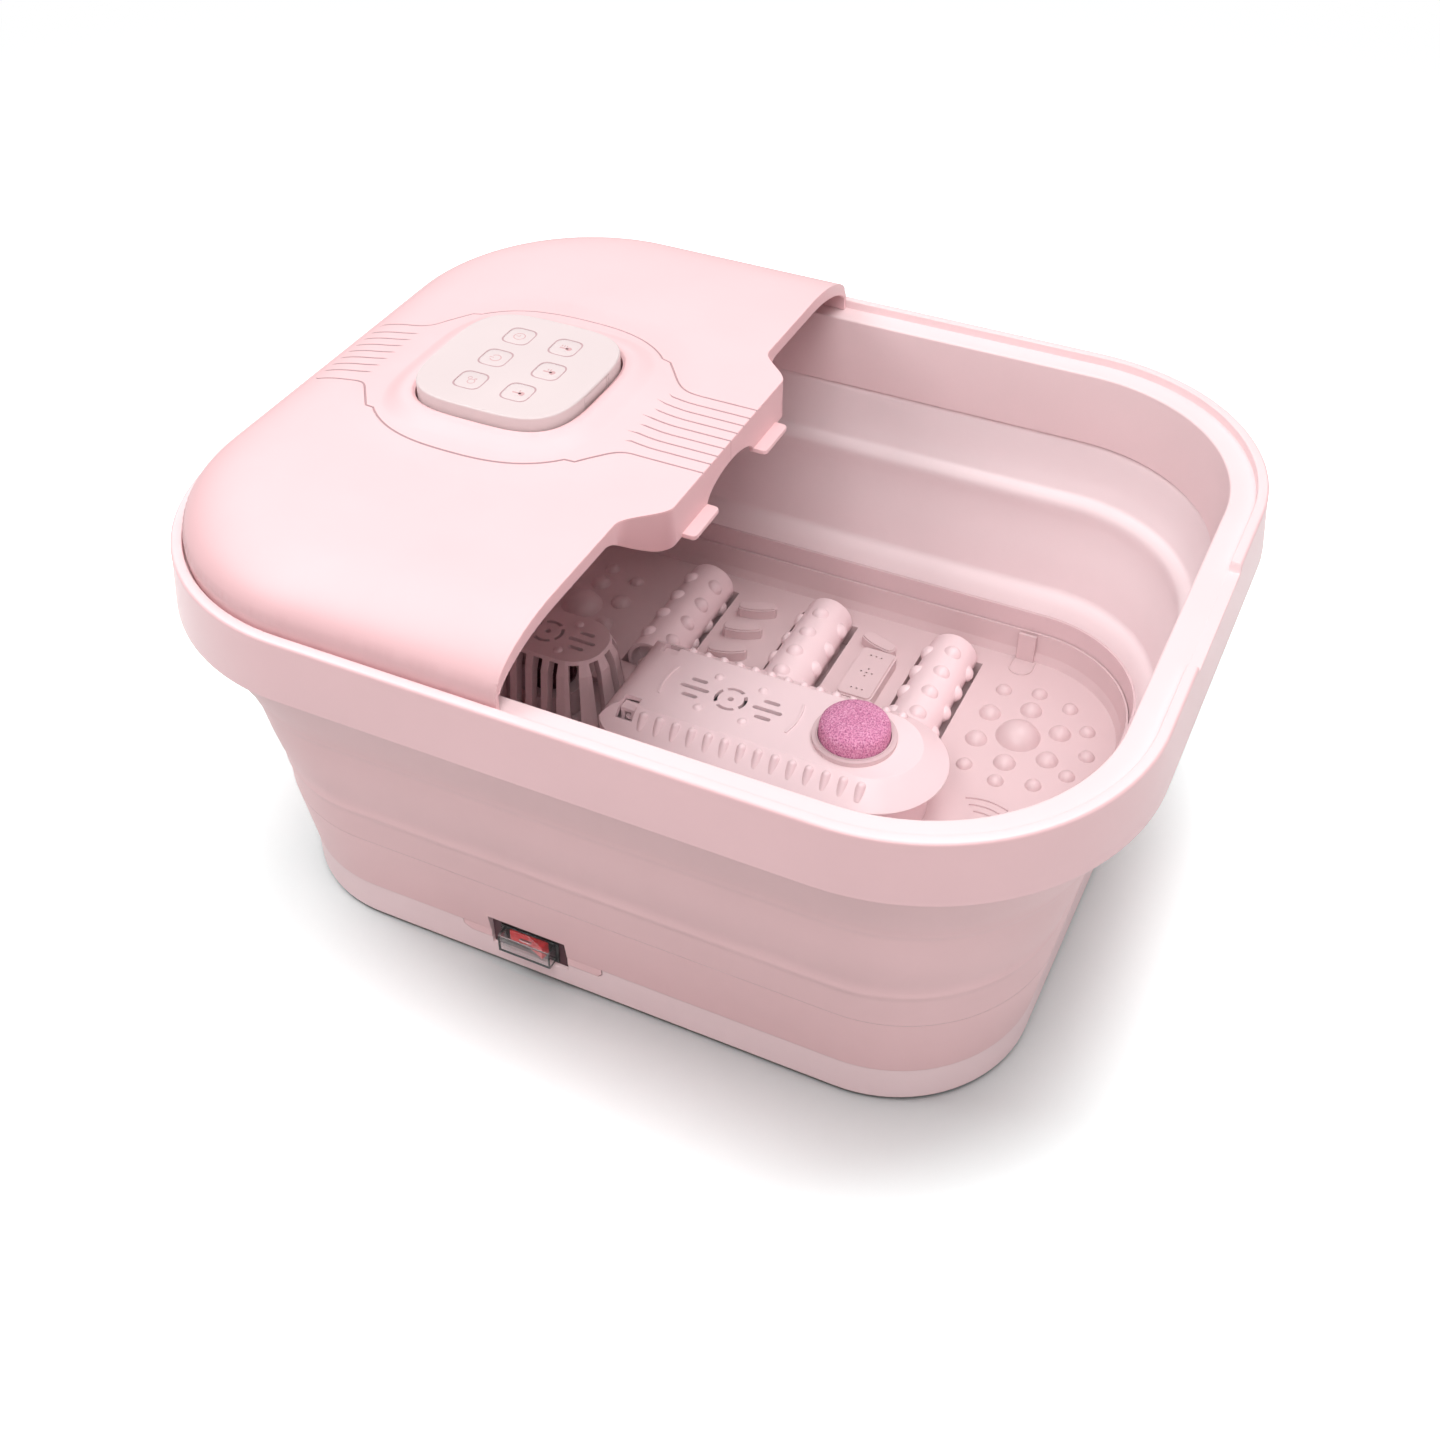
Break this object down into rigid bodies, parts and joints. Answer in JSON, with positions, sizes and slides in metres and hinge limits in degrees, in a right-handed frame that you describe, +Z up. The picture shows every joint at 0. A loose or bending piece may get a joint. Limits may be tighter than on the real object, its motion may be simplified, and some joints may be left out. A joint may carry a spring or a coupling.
{
  "type": "foot spa basin",
  "caption": "Folding foot spa basin: hard tub, folding rubber wall and rim, nubbed rollers and ridge inside, half lid with lift-out control pad.",
  "frame": {"origin": "centre of the outline on the surface the basin stands on", "axes": "+Z up, +X along the basin towards its open end, -Y towards the side with the mains switch"},
  "size_m": [0.446, 0.366, 0.23],
  "materials": {
    "lid_plastic": "fine satin moulding",
    "rim_plastic": "satin moulding",
    "tub_plastic": "satin moulding",
    "band_plastic": "satin moulding",
    "board_plastic": "satin moulding",
    "folding_rubber": "soft matt rubber",
    "pumice": "fine open grain",
    "pad_plastic": "satin moulding",
    "key_plastic": "satin moulding with printed signs",
    "dark_plastic": "matt",
    "red_plastic": "gloss",
    "clear_plastic": "clear gloss",
    "steel": "bright",
    "motor_metal": "plain",
    "heater_metal": "plain",
    "circuit_green": "lacquered",
    "foot_rubber": "matt"
  },
  "bodies": {
    "tub": {"bottom_cover": "band_plastic", "rubber_feet": "foot_rubber", "base_screws": "steel", "lower_tub": "tub_plastic", "bellows": "folding_rubber", "massage_board": "board_plastic", "ridge_housing": "board_plastic", "ridge_clips": "board_plastic", "stone_holder": "board_plastic", "intake_cage": "board_plastic", "herb_tray": "board_plastic", "roller_axles": "steel", "flow_heater": "heater_metal", "temperature_probe": "steel", "pump_motor": "motor_metal", "shaft_seal": "dark_plastic", "vibration_motor": "motor_metal", "air_pump": "dark_plastic", "control_board": "circuit_green", "terminal_block": "dark_plastic", "switch_housing": "dark_plastic", "switch_cover": "clear_plastic", "cord_gland": "foot_rubber"},
    "rim": {"top_rim": "rim_plastic", "bellows_clamp": "rim_plastic"},
    "lid": {"lid": "lid_plastic"},
    "pad": {"pad_bottom_shell": "pad_plastic", "pad_top_shell": "pad_plastic", "pad_board": "circuit_green"},
    "battery_drawer": {"battery_tray": "pad_plastic", "coin_cell": "steel"},
    "pumice_stone": {"pumice_stone": "pumice"},
    "herb_lid": {"herb_lid": "board_plastic"},
    "impeller": {"impeller": "dark_plastic"},
    "eccentric_weight": {"eccentric_weight": "steel"},
    "switch_rocker": {"switch_rocker": "red_plastic"},
    "key_timer": {"key_timer": "key_plastic"},
    "key_power": {"key_power": "key_plastic"},
    "key_bubbles": {"key_bubbles": "key_plastic"},
    "key_heat_high": {"key_heat_high": "key_plastic"},
    "key_heat_mid": {"key_heat_mid": "key_plastic"},
    "key_heat_low": {"key_heat_low": "key_plastic"},
    "roller_far_1": {"roller_far_1": "board_plastic"},
    "roller_far_2": {"roller_far_2": "board_plastic"},
    "roller_far_3": {"roller_far_3": "board_plastic"},
    "roller_near_1": {"roller_near_1": "board_plastic"},
    "roller_near_2": {"roller_near_2": "board_plastic"},
    "roller_near_3": {"roller_near_3": "board_plastic"}
  },
  "joints": [
    {"name": "tub_collapse", "type": "slide", "parent": "tub", "child": "rim", "axis": [0, 0, -1], "range_m": [0, 0.095], "deforming": ["bellows"]},
    {"name": "lid_lift", "type": "slide", "parent": "rim", "child": "lid", "axis": [0, 0, 1], "range_m": [0, 0.12]},
    {"name": "pad_lift", "type": "slide", "parent": "lid", "child": "pad", "axis": [0, 0, 1], "range_m": [0, 0.04]},
    {"name": "battery_slide", "type": "slide", "parent": "pad", "child": "battery_drawer", "axis": [1, 0, 0], "range_m": [0, 0.02]},
    {"name": "rocker_tip", "type": "hinge", "parent": "tub", "child": "switch_rocker", "pos_m": [-0.034, -0.1375, 0.0195], "axis": [0, 0, 1], "range_deg": [0, 20]},
    {"name": "stone_lift", "type": "slide", "parent": "tub", "child": "pumice_stone", "axis": [0, 0, 1], "range_m": [0, 0.03]},
    {"name": "herb_lid_lift", "type": "slide", "parent": "tub", "child": "herb_lid", "axis": [0, 0, 1], "range_m": [0, 0.02]},
    {"name": "impeller_spin", "type": "hinge", "parent": "tub", "child": "impeller", "pos_m": [-0.1026, 0, 0.05], "axis": [0, 0, 1], "continuous": true},
    {"name": "weight_spin", "type": "hinge", "parent": "tub", "child": "eccentric_weight", "pos_m": [0.04, 0, 0.024], "axis": [1, 0, 0], "continuous": true},
    {"name": "key_timer_press", "type": "slide", "parent": "pad", "child": "key_timer", "axis": [0, 0, -1], "range_m": [0, 0.0004], "stiffness_N_per_m": 150, "springref_m": -0.0004},
    {"name": "key_power_press", "type": "slide", "parent": "pad", "child": "key_power", "axis": [0, 0, -1], "range_m": [0, 0.0004], "stiffness_N_per_m": 150, "springref_m": -0.0004},
    {"name": "key_bubbles_press", "type": "slide", "parent": "pad", "child": "key_bubbles", "axis": [0, 0, -1], "range_m": [0, 0.0004], "stiffness_N_per_m": 150, "springref_m": -0.0004},
    {"name": "key_heat_high_press", "type": "slide", "parent": "pad", "child": "key_heat_high", "axis": [0, 0, -1], "range_m": [0, 0.0004], "stiffness_N_per_m": 150, "springref_m": -0.0004},
    {"name": "key_heat_mid_press", "type": "slide", "parent": "pad", "child": "key_heat_mid", "axis": [0, 0, -1], "range_m": [0, 0.0004], "stiffness_N_per_m": 150, "springref_m": -0.0004},
    {"name": "key_heat_low_press", "type": "slide", "parent": "pad", "child": "key_heat_low", "axis": [0, 0, -1], "range_m": [0, 0.0004], "stiffness_N_per_m": 150, "springref_m": -0.0004},
    {"name": "roller_far_1_spin", "type": "hinge", "parent": "tub", "child": "roller_far_1", "pos_m": [-0.0686, 0.0825, 0.032], "axis": [0, 1, 0], "continuous": true},
    {"name": "roller_far_2_spin", "type": "hinge", "parent": "tub", "child": "roller_far_2", "pos_m": [0.0034, 0.0825, 0.032], "axis": [0, 1, 0], "continuous": true},
    {"name": "roller_far_3_spin", "type": "hinge", "parent": "tub", "child": "roller_far_3", "pos_m": [0.0754, 0.0825, 0.032], "axis": [0, 1, 0], "continuous": true},
    {"name": "roller_near_1_spin", "type": "hinge", "parent": "tub", "child": "roller_near_1", "pos_m": [-0.0686, -0.0825, 0.032], "axis": [0, 1, 0], "continuous": true},
    {"name": "roller_near_2_spin", "type": "hinge", "parent": "tub", "child": "roller_near_2", "pos_m": [0.0034, -0.0825, 0.032], "axis": [0, 1, 0], "continuous": true},
    {"name": "roller_near_3_spin", "type": "hinge", "parent": "tub", "child": "roller_near_3", "pos_m": [0.0754, -0.0825, 0.032], "axis": [0, 1, 0], "continuous": true}
  ]
}
